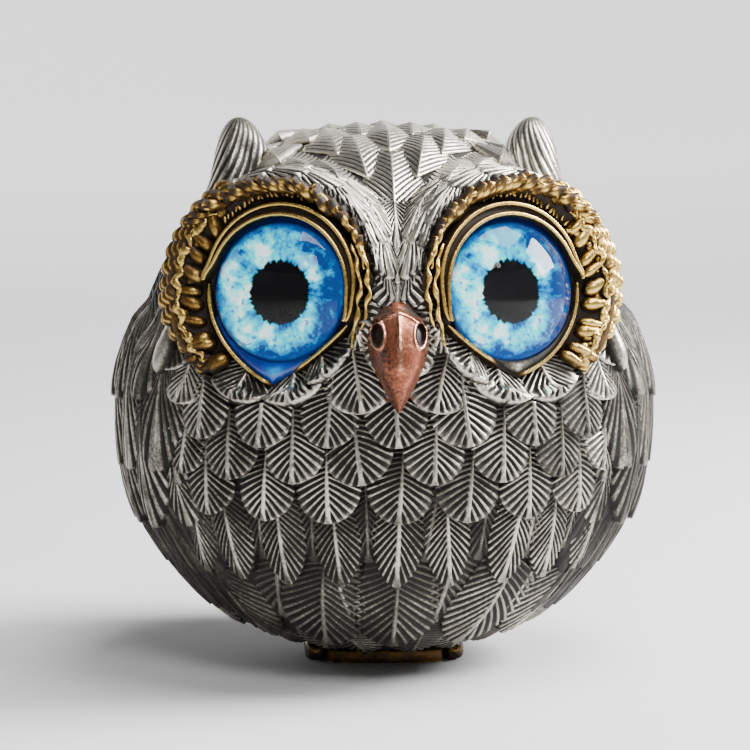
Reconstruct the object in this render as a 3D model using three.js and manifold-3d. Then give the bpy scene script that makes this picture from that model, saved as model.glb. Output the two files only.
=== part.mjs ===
// Owl figurine, about 80 mm tall: a solid cast body with bonded wings, ear tufts and tail, a copper
// beak, brass ruffs and eyelids round two glass cabochon eyes, and a brass foot.
// Millimetres, +Z up, the owl faces -Y. Sizes and places are given from the body's upright axis.
import * as THREE from "three";
import { mergeVertices } from "three/addons/utils/BufferGeometryUtils.js";
import Module from "manifold-3d";

// Driving dimensions
const HALF_WIDTH = 38; // body without its wings, along X
const HALF_DEPTH = 37; // along Y
const HALF_HEIGHT = 38.5;
const BODY_CENTRE_Z = 40;
const ROUNDNESS = 2.3; // exponent of the body's upright outline: 2 is an ellipse
const TEMPLE_SLIM = 2.2; // how much the body draws in at the sides of the head
const GAP = 0.3; // bond line between neighbouring pieces

const EYE_X = 15.6;
const EYE_Y = -30;
const EYE_Z = 57;
const EYE_YAW = THREE.MathUtils.degToRad(25); // each eye looks outwards
const EYE_PITCH = THREE.MathUtils.degToRad(8); // and a little up
const MOUND_DEPTH = 9; // centre of the brow mound behind the eye plane
const MOUND_RADIUS = 17.5;

const GLASS_RADIUS = 10; // 20 mm cabochon
const GLASS_EDGE = 0.8; // straight edge under the dome
const GLASS_HEIGHT = 5.8;
const IRIS_THICKNESS = 0.5;
const CUP_WALL = 0.8;
const CUP_FLOOR = 1.2;
const LID_INNER = 9.6; // the lids overlap the edge of the glass
const LID_OUTER = 11.6;
const LID_HEIGHT = 2.2;
const LID_WIDTH = 0.9; // of the lower lid's band
const LID_END = THREE.MathUtils.degToRad(-14); // where the lower lid's band starts
const CORNER_DROP = 13.6; // lowest point of the lower lid under the eye's centre
const RUFF_INNER = 12.1;
const RUFF_OUTER = 15.2;
const RUFF_SHIFT = 1.8; // the ruff's outer edge is set towards the side of the head
const RUFF_HEIGHT = 2.6;
const RUFF_TEETH = 30;

const BEAK_LENGTH = 15.6;
const BEAK_WIDTH = 8.2;
const BEAK_DEPTH = 9;

const EAR = { x: 19.8, y: -8, z: 73, width: 4.4, depth: 4.8, height: 7.6, outward: 1.6, forward: 2.2 };
const WING_THICKNESS = 2.2;
const PLATE = { width: 18, depth: 15, height: 2.2 };
const TOE = { width: 2.8, depth: 12, height: 3.6 };
const PEG = { radius: 5, height: 6 };

const silver = { color: 0x8f8c88, roughness: 0.42, metalness: 0.9 };
const brass = { color: 0xa88742, roughness: 0.4, metalness: 0.9 };
const copper = { color: 0xb4623f, roughness: 0.38, metalness: 0.9 };
const glass = { color: 0xdfefff, roughness: 0.05, metalness: 0 };
const print = { color: 0x2f8fd8, roughness: 0.5, metalness: 0 };
const enamel = { color: 0x1c4fd0, roughness: 0.15, metalness: 0 };

const wasm = await Module();
wasm.setup();

const owl = new THREE.Group();

// Solids

// A closed three.js geometry as a manifold-3d solid, with seams and poles merged.
function solid(geometry) {
  const bare = geometry.index ? geometry.toNonIndexed() : geometry.clone();
  bare.deleteAttribute("normal");
  bare.deleteAttribute("uv");
  const merged = mergeVertices(bare, 1e-3);
  const corners = merged.index.array;
  const kept = [];
  for (let i = 0; i < corners.length; i += 3) {
    const [a, b, c] = corners.slice(i, i + 3);
    if (a !== b && b !== c && c !== a) kept.push(a, b, c);
  }
  return new wasm.Manifold(
    new wasm.Mesh({
      numProp: 3,
      vertProperties: merged.attributes.position.array,
      triVerts: new Uint32Array(kept),
    }),
  );
}

function geometryOf(made) {
  const { vertProperties, triVerts } = made.getMesh();
  const geometry = new THREE.BufferGeometry();
  geometry.setAttribute("position", new THREE.BufferAttribute(vertProperties, 3));
  geometry.setIndex(new THREE.BufferAttribute(triVerts, 1));
  geometry.computeVertexNormals();
  return geometry;
}

// The geometry with each vertex moved by move(vector), which changes the vector in place.
function reshaped(geometry, move) {
  const places = geometry.attributes.position;
  const vector = new THREE.Vector3();
  for (let i = 0; i < places.count; i++) {
    move(vector.fromBufferAttribute(places, i));
    places.setXYZ(i, vector.x, vector.y, vector.z);
  }
  return geometry;
}

function addPiece(name, made, finish, parent = owl) {
  const mesh = new THREE.Mesh(geometryOf(made), new THREE.MeshStandardMaterial(finish));
  mesh.name = name;
  parent.add(mesh);
  return mesh;
}

// Body

// Radius of the body's outline at a height from -1 at the bottom to 1 at the top.
function outline(height) {
  return Math.pow(Math.max(0, 1 - Math.pow(Math.abs(height), ROUNDNESS)), 1 / ROUNDNESS);
}

// Moves a point of the body's ball, given from its centre, inwards at the temples.
function drawInTemples(point) {
  const reach = point.length();
  const upper = THREE.MathUtils.smoothstep(point.z / reach, 0, 0.4);
  const lateral = THREE.MathUtils.smoothstep(Math.abs(point.x) / reach, 0.3, 0.7);
  point.setLength(reach - TEMPLE_SLIM * upper * lateral);
}

// The plain body, grown by the given amount on all sides.
function bodyBall(grow, segments = 40, rings = 22) {
  const profile = [];
  for (let i = 0; i <= rings; i++) {
    const turn = -Math.PI / 2 + (Math.PI * i) / rings;
    const height = Math.sign(turn) * Math.pow(Math.abs(Math.sin(turn)), 2 / ROUNDNESS);
    profile.push(new THREE.Vector2(i % rings ? outline(height) : 0, height));
  }
  const ball = new THREE.LatheGeometry(profile, segments);
  ball.rotateX(Math.PI / 2);
  ball.scale(HALF_WIDTH + grow, HALF_DEPTH + grow, HALF_HEIGHT + grow);
  return solid(reshaped(ball, drawInTemples).translate(0, 0, BODY_CENTRE_Z));
}

// Puts a geometry from the eye's own frame (+Z out of the eye, +Y up the face) into the part's.
// side is +1 on the owl's left, which is +X.
function eyeMatrix(side) {
  const turn = new THREE.Matrix4().makeRotationFromEuler(
    new THREE.Euler(Math.PI / 2 - EYE_PITCH, 0, side * EYE_YAW, "ZXY"),
  );
  return turn.setPosition(side * EYE_X, EYE_Y, EYE_Z);
}

function inEyeFrame(geometry, side) {
  return solid(geometry.applyMatrix4(eyeMatrix(side)));
}

function browMound(side) {
  const ball = new THREE.SphereGeometry(MOUND_RADIUS, 28, 16);
  ball.translate((side * RUFF_SHIFT) / 2, 0, -MOUND_DEPTH);
  return inEyeFrame(ball, side);
}

// A plug along the eye's axis, from a depth up to well clear of the face, moved towards the side
// of the head by shift.
function eyePocket(radius, depth, side, shift = 0) {
  const length = 20;
  const plug = new THREE.CylinderGeometry(radius, radius, length, 36);
  plug.rotateX(Math.PI / 2);
  plug.translate(side * shift, 0, length / 2 - depth);
  return inEyeFrame(plug, side);
}

const CUP_RADIUS = GLASS_RADIUS + GAP + CUP_WALL;
const IRIS_TOP = -GAP;
const CUP_TOP_OF_FLOOR = IRIS_TOP - IRIS_THICKNESS - GAP;
const CUP_BACK = CUP_TOP_OF_FLOOR - CUP_FLOOR;
const RUFF_SEAT = 0.2; // the ruff's back under the eye plane

function block(width, depth, height, x = 0, y = 0, z = 0) {
  return new THREE.BoxGeometry(width, depth, height).translate(x, y, z + height / 2);
}

function footRecess() {
  const wide = PLATE.width + 2 * (TOE.width + 2 * GAP);
  const under = solid(block(2 * HALF_WIDTH, 2 * HALF_DEPTH, PLATE.height + GAP));
  const toes = solid(block(wide, TOE.depth + 2 * GAP, TOE.height + GAP));
  const peg = new THREE.CylinderGeometry(PEG.radius + GAP, PEG.radius + GAP, 2 * PEG.height, 32);
  peg.rotateX(Math.PI / 2).translate(0, 0, PLATE.height);
  return under.add(toes).add(solid(peg));
}

// Beak: a sphere drawn out along its length, with a hooked tip.
function beakShape(grow) {
  const rounded = new THREE.SphereGeometry(1, 20, 14).rotateX(Math.PI / 2);
  const hook = 3.2; // how far the tip curves back towards the chest
  return reshaped(rounded, (p) => {
    const along = (1 - p.z) / 2; // 0 at the cere, 1 at the tip
    const taper = 1 - 0.62 * Math.pow(along, 1.8);
    p.x *= (BEAK_WIDTH / 2 + grow) * taper;
    p.y *= (BEAK_DEPTH / 2 + grow) * (1 - 0.35 * along);
    p.y += hook * Math.pow(along, 2) - 1.5 * Math.sin(Math.PI * along);
    p.z *= BEAK_LENGTH / 2 + grow;
  }).translate(0, -HALF_DEPTH + 0.6, 48.8);
}

function makeBody() {
  let body = bodyBall(0);
  for (const side of [1, -1]) body = body.add(browMound(side));
  for (const side of [1, -1]) {
    body = body.subtract(eyePocket(RUFF_OUTER + GAP, RUFF_SEAT + GAP, side, RUFF_SHIFT));
    body = body.subtract(eyePocket(CUP_RADIUS + GAP, GAP - CUP_BACK, side));
  }
  body = body.subtract(solid(beakShape(GAP))).subtract(footRecess());
  addPiece("body_casting", body, silver);
}

// Wings: the layer between the body and a slightly larger ball, inside a leaf-shaped outline that
// is seen from the side.
function wingOutline() {
  const leaf = new THREE.Shape();
  leaf.moveTo(-12, 53);
  leaf.bezierCurveTo(-22, 44, -24, 26, -17, 12);
  leaf.bezierCurveTo(-13, 5, 4, 3, 22, 8);
  leaf.bezierCurveTo(27, 24, 18, 46, -1, 55);
  leaf.closePath();
  return leaf;
}

function makeWing(side) {
  const prism = new THREE.ExtrudeGeometry(wingOutline(), {
    depth: HALF_WIDTH + 10,
    bevelEnabled: false,
    curveSegments: 10,
  });
  // The shape's x and y become the part's Y and Z, and its depth runs out along X.
  prism.rotateX(Math.PI / 2).rotateZ(Math.PI / 2);
  if (side < 0) prism.translate(-HALF_WIDTH - 10, 0, 0);
  const layer = bodyBall(WING_THICKNESS).subtract(bodyBall(GAP));
  let wing = layer.intersect(solid(prism));
  wing = wing.subtract(browMound(side));
  wing = wing.subtract(eyePocket(RUFF_OUTER + 1, RUFF_SEAT + 1, side, RUFF_SHIFT));
  addPiece(side > 0 ? "wing_left" : "wing_right", wing, silver);
}

// Ear tufts: short curved tufts, hollowed in front.
function makeEar(side) {
  const rounded = new THREE.SphereGeometry(1, 18, 12).rotateX(Math.PI / 2);
  const tuft = reshaped(rounded, (p) => {
    const rise = (p.z + 1) / 2;
    p.x = p.x * EAR.width * (1 - 0.25 * rise) + side * EAR.outward * rise * rise;
    p.y = p.y * EAR.depth * (1 - 0.3 * rise) - EAR.forward * rise * rise;
    p.z *= EAR.height;
  });
  tuft.translate(side * EAR.x, EAR.y, EAR.z);
  const hollow = new THREE.SphereGeometry(2.4, 14, 9).scale(0.8, 0.6, 1.7);
  hollow.translate(side * (EAR.x + 1.6), EAR.y - EAR.depth - 0.6, EAR.z + 3.2);
  const made = solid(tuft).subtract(solid(hollow)).subtract(bodyBall(GAP));
  addPiece(side > 0 ? "ear_tuft_left" : "ear_tuft_right", made, silver);
}

// Tail: a short fan low on the back.
function makeTail() {
  const fan = new THREE.Shape();
  fan.moveTo(-7, 24);
  fan.bezierCurveTo(-12, 16, -11, 9, -8, 5.5);
  fan.quadraticCurveTo(0, 2.5, 8, 5.5);
  fan.bezierCurveTo(11, 9, 12, 16, 7, 24);
  fan.closePath();
  const slab = new THREE.ExtrudeGeometry(fan, { depth: 18, bevelEnabled: false, curveSegments: 6 });
  slab.rotateX(Math.PI / 2).rotateZ(Math.PI).translate(0, 20, 0);
  const outside = bodyBall(3).intersect(solid(slab));
  addPiece("tail", outside.subtract(bodyBall(GAP)), silver);
}

// Eyes

// A closed ring sector, drawn flat in the eye's frame and raised along its axis.
function raised(shape, back, height, segments = 24) {
  const made = new THREE.ExtrudeGeometry(shape, {
    depth: height,
    bevelEnabled: false,
    curveSegments: segments,
  });
  return made.translate(0, 0, back);
}

// Ruff outline: a ring, open below the eye, with a toothed outer edge.
function ruffOutline(side) {
  const open = THREE.MathUtils.degToRad(32); // half of the opening below the eye
  const from = -Math.PI / 2 + open;
  const span = 2 * Math.PI - 2 * open;
  const shape = new THREE.Shape();
  const points = [];
  for (let i = 0; i <= 2 * RUFF_TEETH; i++) {
    const angle = from + (span * i) / (2 * RUFF_TEETH);
    const radius = RUFF_OUTER - (i % 2 ? 0 : 0.9);
    points.push([side * RUFF_SHIFT + radius * Math.cos(angle), radius * Math.sin(angle)]);
  }
  shape.moveTo(...points[0]);
  points.slice(1).forEach(([x, y]) => shape.lineTo(x, y));
  shape.absarc(0, 0, RUFF_INNER, from + span, from, true);
  return shape;
}

function upperLidOutline() {
  const from = THREE.MathUtils.degToRad(-8);
  const to = Math.PI - from;
  const shape = new THREE.Shape();
  shape.absarc(0, 0, LID_OUTER, from, to, false);
  shape.absarc(0, 0, LID_INNER, to, from, true);
  return shape;
}

// Lower lid: a band that follows the glass and is drawn down to a point under the eye.
function lowerLidOutline() {
  const outer = GLASS_RADIUS + 1.3;
  const inner = outer - LID_WIDTH;
  const outerX = outer * Math.cos(LID_END);
  const innerX = inner * Math.cos(LID_END);
  const lean = 0.62; // how early the sides leave the circle and run to the point
  const waist = { x: 4, y: 1 - CORNER_DROP }; // where the sides turn into the point
  const innerDrop = LID_WIDTH * 1.5 - CORNER_DROP;
  const shape = new THREE.Shape();
  shape.moveTo(outerX, outer * Math.sin(LID_END));
  shape.bezierCurveTo(outer, -outer * lean, waist.x, waist.y, 0, -CORNER_DROP);
  shape.bezierCurveTo(-waist.x, waist.y, -outer, -outer * lean, -outerX, outer * Math.sin(LID_END));
  shape.lineTo(-innerX, inner * Math.sin(LID_END));
  shape.bezierCurveTo(-inner, -inner * lean, -waist.x, waist.y + LID_WIDTH, 0, innerDrop);
  shape.bezierCurveTo(waist.x, waist.y + LID_WIDTH, inner, -inner * lean, innerX, inner * Math.sin(LID_END));
  shape.closePath();
  return shape;
}

// A turned piece from its half section, given from the axis outwards and back to the axis.
function turned(points, segments = 32) {
  const profile = points.map(([radius, height]) => new THREE.Vector2(radius, height));
  return new THREE.LatheGeometry(profile, segments).rotateX(Math.PI / 2);
}

function glassProfile() {
  const steps = 7;
  const profile = [[0, 0], [GLASS_RADIUS, 0]];
  for (let i = 0; i <= steps; i++) {
    const turn = (Math.PI / 2) * (i / steps);
    const rise = (GLASS_HEIGHT - GLASS_EDGE) * Math.sin(turn);
    profile.push([i < steps ? GLASS_RADIUS * Math.cos(turn) : 0, GLASS_EDGE + rise]);
  }
  return profile;
}

function makeEye(side) {
  const word = side > 0 ? "left" : "right";
  const glassBody = inEyeFrame(turned(glassProfile()), side);
  const disc = turned([
    [0, IRIS_TOP - IRIS_THICKNESS],
    [GLASS_RADIUS, IRIS_TOP - IRIS_THICKNESS],
    [GLASS_RADIUS, IRIS_TOP],
    [0, IRIS_TOP],
  ]);
  const cup = turned([
    [0, CUP_BACK],
    [CUP_RADIUS, CUP_BACK],
    [CUP_RADIUS, -GAP],
    [GLASS_RADIUS + GAP, -GAP],
    [GLASS_RADIUS + GAP, CUP_TOP_OF_FLOOR],
    [0, CUP_TOP_OF_FLOOR],
  ]);
  const clearOfGlass = eyePocket(GLASS_RADIUS + GAP, 1, side);
  const upper = inEyeFrame(raised(upperLidOutline(), GLASS_EDGE, LID_HEIGHT), side);
  const lower = inEyeFrame(raised(lowerLidOutline(), 0, LID_HEIGHT * 0.7, 10), side);
  const ruff = inEyeFrame(raised(ruffOutline(side), -RUFF_SEAT, RUFF_HEIGHT), side);
  addPiece("eye_glass_" + word, glassBody, glass);
  addPiece("iris_disc_" + word, inEyeFrame(disc, side), print);
  addPiece("eye_cup_" + word, inEyeFrame(cup, side), brass);
  addPiece("upper_lid_" + word, upper.subtract(clearOfGlass), brass);
  addPiece("lower_lid_" + word, lower.subtract(clearOfGlass), brass);
  addPiece("eye_ruff_" + word, ruff, brass);
}

// Blue enamel that fills the drawn-down corner under the owl's right eye, inside the lower lid.
function makeCornerEnamel() {
  const fill = new THREE.Shape();
  const half = 3.6;
  const top = -GLASS_RADIUS - GAP;
  fill.moveTo(-half, top + 0.3);
  fill.quadraticCurveTo(0, top - 0.6, half, top + 0.3);
  fill.quadraticCurveTo(2.4, top - 1.4, 0, LID_WIDTH * 1.5 + GAP * 1.5 - CORNER_DROP);
  fill.quadraticCurveTo(-2.4, top - 1.4, -half, top + 0.3);
  const made = inEyeFrame(raised(fill, 0, 1.1, 8), -1).subtract(eyePocket(GLASS_RADIUS + GAP, 1, -1));
  addPiece("corner_enamel_right", made, enamel);
}

// Foot: a brass plate with a peg that is bonded into the body, and a roll of toes at each end.
function roundedBlock(width, depth, height, corner) {
  const outline = new THREE.Shape();
  const [x, y] = [width / 2, depth / 2];
  outline.moveTo(-x + corner, -y);
  outline.absarc(x - corner, corner - y, corner, -Math.PI / 2, 0, false);
  outline.absarc(x - corner, y - corner, corner, 0, Math.PI / 2, false);
  outline.absarc(corner - x, y - corner, corner, Math.PI / 2, Math.PI, false);
  outline.absarc(corner - x, corner - y, corner, Math.PI, 1.5 * Math.PI, false);
  return new THREE.ExtrudeGeometry(outline, {
    depth: height,
    bevelEnabled: false,
    curveSegments: 5,
  });
}

function makeFoot() {
  const plate = solid(roundedBlock(PLATE.width, PLATE.depth, PLATE.height, 1.2));
  const peg = new THREE.CylinderGeometry(PEG.radius, PEG.radius, PEG.height, 32);
  peg.rotateX(Math.PI / 2).translate(0, 0, PLATE.height + PEG.height / 2 - 1);
  addPiece("foot_plate", plate.add(solid(peg)), brass);
  for (const side of [1, -1]) {
    const toes = roundedBlock(TOE.width, TOE.depth, TOE.height, 1.2);
    toes.translate(side * (PLATE.width / 2 + GAP + TOE.width / 2), 0, 0);
    addPiece(side > 0 ? "toes_left" : "toes_right", solid(toes), brass);
  }
}

makeBody();
makeCornerEnamel();
for (const side of [1, -1]) {
  makeWing(side);
  makeEar(side);
  makeEye(side);
}
makeTail();
makeFoot();
addPiece("beak", solid(beakShape(0)), copper);

// The part's origin is under the middle of its outline, not under the body's axis.
const outside = new THREE.Box3().setFromObject(owl);
owl.position.y = -(outside.min.y + outside.max.y) / 2;

export default owl;
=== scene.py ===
"""Owl figurine: cast feathers, brass ruffs and lids, glass eyes and a copper beak on the frame."""

import math

import bpy
import numpy as np
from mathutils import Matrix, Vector


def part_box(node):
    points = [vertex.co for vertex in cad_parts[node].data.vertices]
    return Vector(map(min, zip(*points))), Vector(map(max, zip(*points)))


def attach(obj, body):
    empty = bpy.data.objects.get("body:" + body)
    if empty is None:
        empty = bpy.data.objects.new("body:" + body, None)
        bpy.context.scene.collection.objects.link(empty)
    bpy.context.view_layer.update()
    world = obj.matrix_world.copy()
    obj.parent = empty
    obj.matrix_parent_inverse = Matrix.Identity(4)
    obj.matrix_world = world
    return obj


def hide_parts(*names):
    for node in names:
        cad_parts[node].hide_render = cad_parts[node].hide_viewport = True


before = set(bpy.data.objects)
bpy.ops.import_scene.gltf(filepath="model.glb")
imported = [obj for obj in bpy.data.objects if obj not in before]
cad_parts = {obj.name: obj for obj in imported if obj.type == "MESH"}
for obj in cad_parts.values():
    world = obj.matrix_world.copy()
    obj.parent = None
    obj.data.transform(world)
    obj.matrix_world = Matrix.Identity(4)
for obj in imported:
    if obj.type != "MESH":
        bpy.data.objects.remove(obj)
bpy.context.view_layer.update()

MM = 0.001  # places and sizes below are in millimetres until a mesh is made
random = np.random.default_rng(7)


def box_mm(node):
    low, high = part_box(node)
    return np.array(low) / MM, np.array(high) / MM


# Driving dimensions

body_low, body_high = box_mm("body_casting")
HALF_WIDTH = (body_high[0] - body_low[0]) / 2
HALF_DEPTH = (body_high[1] - body_low[1]) / 2
HALF_HEIGHT = 38.5
ROUNDNESS = 2.3  # exponent of the body's upright outline: 2 is an ellipse
TEMPLE_SLIM = 2.2  # how much the casting draws in at the sides of the head
CENTRE = np.array([0, (body_high[1] + body_low[1]) / 2, body_high[2] - HALF_HEIGHT])

EYE_YAW = math.radians(25)
EYE_PITCH = math.radians(8)
DISC_DEPTH = 0.55  # middle of the iris disc under the eye plane
GLASS_RADIUS = 10.0
GLASS_EDGE = 0.8
GLASS_HEIGHT = 5.8
MOUND_RADIUS = 17.5
MOUND_DEPTH = 9.0
BEHIND_FACE = -12  # a point this far behind the eye plane is clear of the ruff
RUFF_RADIUS = 15.2
RUFF_SHIFT = 1.8
RUFF_TOP = 2.0  # height of the ruff over the eye plane
RUFF_PAINTED_LIGHT = {1: 2.8, -1: -0.6}  # painted light: added to the tone of each ruff by its side, lighter on the +X side and darker on the other
LOWER_LID = 10.75  # distance of the lower lid from the middle of the eye, at its outer side
CORNER_DROP = {-1: 13.4, 1: 12.1}  # the lower lid's point under the middle of each eye, by its side
LID_BACK = -2.2  # height of the lower lid's foot over the eye plane

WING_Y, WING_Z = 2.5, 30.5
WING_HALF_LENGTH, WING_HALF_HEIGHT = 22.0, 23.5
WING_THICKNESS = 1.1
WING_SQUARENESS = 2.6  # exponent of the wing's outline
TAIL_Z, TAIL_HALF_WIDTH, TAIL_HALF_HEIGHT, TAIL_THICKNESS = 14.0, 12.0, 14.0, 2.0
FOOT_THICKNESS = 2.2
TOE_INNER, TOE_OUTER = 8.8, 11.7  # from the middle of the foot

SUNK = -0.5  # how far a feather's skirt goes under the surface that it lies on
DOWN = np.array([0.0, 0.0, -1.0])
UP = -DOWN
SIDES = (1, -1)


def unit(vectors):
    return vectors / np.maximum(np.linalg.norm(vectors, axis=-1, keepdims=True), 1e-9)


def smooth(value):
    value = np.clip(value, 0, 1)
    return value * value * (3 - 2 * value)


def bell(value, width):
    """1 at zero, and falling off on both sides over a width."""
    return np.exp(-((value / width) ** 2))


def fade_ends(values, width):
    """0 at both ends of a run of rising values, and 1 from a width inside them."""
    return smooth(np.minimum(values - values[0], values[-1] - values) / width)


def angles(first, last, count):
    """Evenly spaced angles, given in degrees and returned in radians."""
    return np.radians(np.linspace(first, last, count))


def full_turn(count):
    return np.linspace(0, 2 * math.pi, count, endpoint=False)


def squared_circle(turn, power):
    """Cosine and sine of a turn, squared up towards a rounded box by a power under 1."""
    return [np.sign(wave) * np.abs(wave) ** power for wave in (np.cos(turn), np.sin(turn))]


class Eye:
    """The eye's own axes: out of the eye, to the viewer's right and up the face."""

    def __init__(self, side):
        self.side = side
        self.word = "left" if side > 0 else "right"
        # Painted light on this eye's ruff: a tone offset by side.
        self.painted_light = RUFF_PAINTED_LIGHT[side]
        self.out = np.array([
            side * math.sin(EYE_YAW) * math.cos(EYE_PITCH),
            -math.cos(EYE_YAW) * math.cos(EYE_PITCH),
            math.sin(EYE_PITCH),
        ])
        self.right = np.array([math.cos(EYE_YAW), side * math.sin(EYE_YAW), 0.0])
        self.up = -np.cross(self.right, self.out)
        low, high = box_mm("iris_disc_" + self.word)
        self.centre = (low + high) / 2 + DISC_DEPTH * self.out

    def place(self, across, up, out):
        """Points in the part's frame for places in the eye's own axes."""
        across, up, out = (np.asarray(v, float)[..., None] for v in (across, up, out))
        return self.centre + across * self.right + up * self.up + out * self.out

    def local(self, points):
        away = points - self.centre
        return away @ self.right, away @ self.up, away @ self.out

    def radial(self, angle):
        """Direction away from the eye's middle: 0 is the outer side, a quarter turn is up."""
        angle = np.asarray(angle, float)[..., None]
        return self.side * np.cos(angle) * self.right + np.sin(angle) * self.up

    def tangent(self, angle):
        """Direction round the eye, from its outer side over the top to the beak."""
        angle = np.asarray(angle, float)[..., None]
        return -self.side * np.sin(angle) * self.right + np.cos(angle) * self.up

    def ring(self, angle, radius, out):
        """Points at a turn round the eye, a distance from its middle and a height over its plane."""
        radius, out = (np.asarray(v, float)[..., None] for v in (radius, out))
        return self.centre + radius * self.radial(angle) + out * self.out


eyes = {side: Eye(side) for side in SIDES}


def ruff_edge(angle):
    """Distance of the ruff's outer edge from the middle of the eye."""
    return RUFF_RADIUS + RUFF_SHIFT * np.cos(angle)


def ruff_distance(point):
    """How far a point is from the middle of the nearer ruff, or a large number behind the face."""
    distances = [99.0]
    for eye in eyes.values():
        across, up, out = eye.local(point)
        if out > BEHIND_FACE:
            distances.append(math.hypot(across - eye.side * RUFF_SHIFT, up))
    return min(distances)


# Surfaces that feathers lie on

def outline(height):
    """Radius of the body's upright outline, from height -1 at the bottom to 1 at the top."""
    return np.maximum(0, 1 - np.abs(height) ** ROUNDNESS) ** (1 / ROUNDNESS)


def ball_reach(rays):
    """Distance from CENTRE to the plain ball along each ray."""
    around = np.hypot(rays[..., 0] / HALF_WIDTH, rays[..., 1] / HALF_DEPTH)
    upright = np.abs(rays[..., 2]) / HALF_HEIGHT
    return (around ** ROUNDNESS + upright ** ROUNDNESS) ** (-1 / ROUNDNESS)


def plain_reach(rays):
    """Distance from CENTRE to the ball, drawn in at the temples."""
    slim = TEMPLE_SLIM * smooth(rays[..., 2] / 0.4) * smooth((np.abs(rays[..., 0]) - 0.3) / 0.4)
    return ball_reach(rays) - slim


def mound_reach(rays, eye):
    """Distance from CENTRE to the ball behind an eye, or 0 where a ray misses it."""
    middle = eye.place(eye.side * RUFF_SHIFT / 2, 0, -MOUND_DEPTH) - CENTRE
    along = rays @ middle
    inside = along ** 2 - (middle @ middle - MOUND_RADIUS ** 2)
    return np.where(inside > 0, along + np.sqrt(np.maximum(inside, 0)), 0)


def body_reach(rays):
    """Distance from CENTRE to the skin: the ball blended into the brow mounds, dished at the eyes."""
    reach = np.array([plain_reach(rays)] + [mound_reach(rays, eye) for eye in eyes.values()])
    most = reach.max(0)
    softness = 1.2
    reach = most + softness * np.log(np.exp((reach - most) / softness).sum(0))
    for eye in eyes.values():
        facing = np.maximum(rays @ eye.out, 0.2)
        flat = ((eye.centre - CENTRE) @ eye.out) / facing
        across, up, _ = eye.local(CENTRE + rays * flat[..., None])
        inside = RUFF_RADIUS - np.hypot(across - eye.side * RUFF_SHIFT, up)
        bed = flat - (0.3 + 0.4 * inside) / facing
        reach = np.where((inside > 0) & (facing > 0.2), np.minimum(reach, bed), reach)
    return reach


def wing_offset(points):
    """0 in the middle of a wing, 1 on its outline."""
    along = np.abs((points[..., 1] - WING_Y) / WING_HALF_LENGTH) ** WING_SQUARENESS
    upright = np.abs((points[..., 2] - WING_Z) / WING_HALF_HEIGHT) ** WING_SQUARENESS
    return (along + upright) ** (1 / WING_SQUARENESS)


def wing_reach(rays):
    reach = plain_reach(rays)
    spot = CENTRE + rays * reach[..., None]
    edge_width = 0.16
    rise = smooth((1 - wing_offset(spot)) / edge_width)
    thin_end = 1 - 0.95 * smooth((27 - spot[..., 2]) / 15)
    return reach + WING_THICKNESS * rise * thin_end


def tail_reach(rays):
    reach = ball_reach(rays)
    spot = CENTRE + rays * reach[..., None]
    offset = np.hypot(spot[..., 0] / TAIL_HALF_WIDTH, (spot[..., 2] - TAIL_Z) / TAIL_HALF_HEIGHT)
    behind = spot[..., 1] > CENTRE[1]
    return reach + np.where(behind, TAIL_THICKNESS * smooth((1 - offset) / 0.3), 0)


class Surface:
    """A closed surface round CENTRE, given by its reach along each ray."""

    def __init__(self, reach):
        self.reach = reach

    def place(self, points, lift=0.0):
        rays = unit(points - CENTRE)
        return CENTRE + rays * (self.reach(rays) + lift)[..., None]

    def spot(self, point):
        """The one point of the surface that lies under or over a point."""
        return self.place(np.asarray(point, float)[None])[0]

    def normal(self, points):
        """Outward normal under each point, by finite differences."""
        step = 0.1
        slope = np.zeros(points.shape)
        for axis in range(3):
            shift = np.zeros(3)
            shift[axis] = step
            high, low = points + shift - CENTRE, points - shift - CENTRE
            far = np.linalg.norm(high, axis=-1) - self.reach(unit(high))
            near = np.linalg.norm(low, axis=-1) - self.reach(unit(low))
            slope[..., axis] = far - near
        return unit(slope)


SKIN = Surface(body_reach)
WING = Surface(wing_reach)
TAIL = Surface(tail_reach)


def ball_point(turn, height):
    """Point of the plain ball at a turn from the front (radians, towards +X) and a height in mm."""
    radius = outline((height - CENTRE[2]) / HALF_HEIGHT)
    x = HALF_WIDTH * radius * np.sin(turn)
    return np.array([x, CENTRE[1] - HALF_DEPTH * radius * np.cos(turn), height])


# Meshes

def grid_faces(rows, columns, wrap=False):
    """Quads of a rows x columns grid of points; wrap joins the last column to the first."""
    across = columns if wrap else columns - 1
    r, c = np.meshgrid(np.arange(rows - 1), np.arange(across), indexing="ij")
    a = r * columns + c
    b = r * columns + (c + 1) % columns
    return list(np.stack([a, b, b + columns, a + columns], -1).reshape(-1, 4))


def end_faces(rows, columns):
    """One face over the first row of a grid and one over the last."""
    return [np.arange(columns)[::-1], np.arange(columns) + (rows - 1) * columns]


def tube_faces(rows, columns):
    """Faces of a ring of points that is carried along, with both ends closed."""
    return grid_faces(rows, columns, wrap=True) + end_faces(rows, columns)


def slab_faces(rows, columns):
    """Faces of a relief whose outer columns are joined underneath, with both ends closed."""
    edge = np.arange(rows - 1) * columns
    under = np.stack([edge, edge + columns, edge + 2 * columns - 1, edge + columns - 1], -1)
    return grid_faces(rows, columns) + list(under) + end_faces(rows, columns)


def flanked(grid, edge=None):
    """The grid with one more column on each side, that holds edge or repeats the outer column."""
    first, last = grid[:, :1], grid[:, -1:]
    if edge is not None:
        first = last = np.full(first.shape, float(edge))
    return np.concatenate([first, grid, last], 1)


def enclosed(points, faces):
    """Signed volume that the faces enclose."""
    total = 0.0
    for face in faces:
        corners = points[face]
        first = np.broadcast_to(corners[0], corners[1:-1].shape)
        total += np.einsum("ij,ij->", first, np.cross(corners[1:-1], corners[2:])) / 6
    return total


def turned_out(points, faces):
    """The faces, turned round if they point into the shape."""
    return [face[::-1] for face in faces] if enclosed(points, faces) < 0 else faces


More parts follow.
